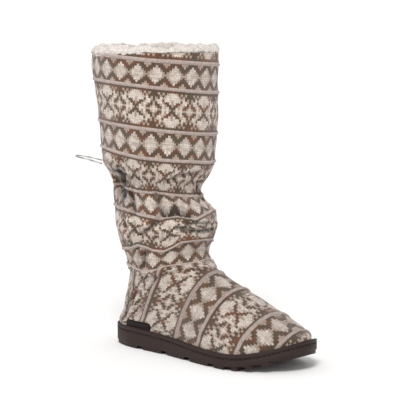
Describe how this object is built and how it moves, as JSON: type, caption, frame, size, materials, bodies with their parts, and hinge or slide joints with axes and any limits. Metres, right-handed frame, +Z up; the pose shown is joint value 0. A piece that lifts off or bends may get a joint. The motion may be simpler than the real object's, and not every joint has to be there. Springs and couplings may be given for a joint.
{
  "type": "knitted slipper boot",
  "caption": "Tall slouchy knitted slipper boot with a fleece collar, a gathered leg, a cord loop behind it and a lugged rubber sole",
  "frame": {"origin": "on the floor under the middle of the heel, on the flat of the heel tread", "axes": "+X towards the toe, +Y towards the inner side of the foot, +Z up"},
  "size_m": [0.2942, 0.1408, 0.3488],
  "materials": {
    "knit": "matte",
    "sole_rubber": "satin",
    "insole_fleece": "matte",
    "fleece": "matte",
    "patch_rubber": "satin",
    "cord": "satin"
  },
  "bodies": {
    "root": {"upper": "knit", "outsole": "sole_rubber", "insole": "insole_fleece", "fleece_collar": "fleece", "heel_patch": "patch_rubber", "cord_loop": "cord"}
  },
  "joints": []
}
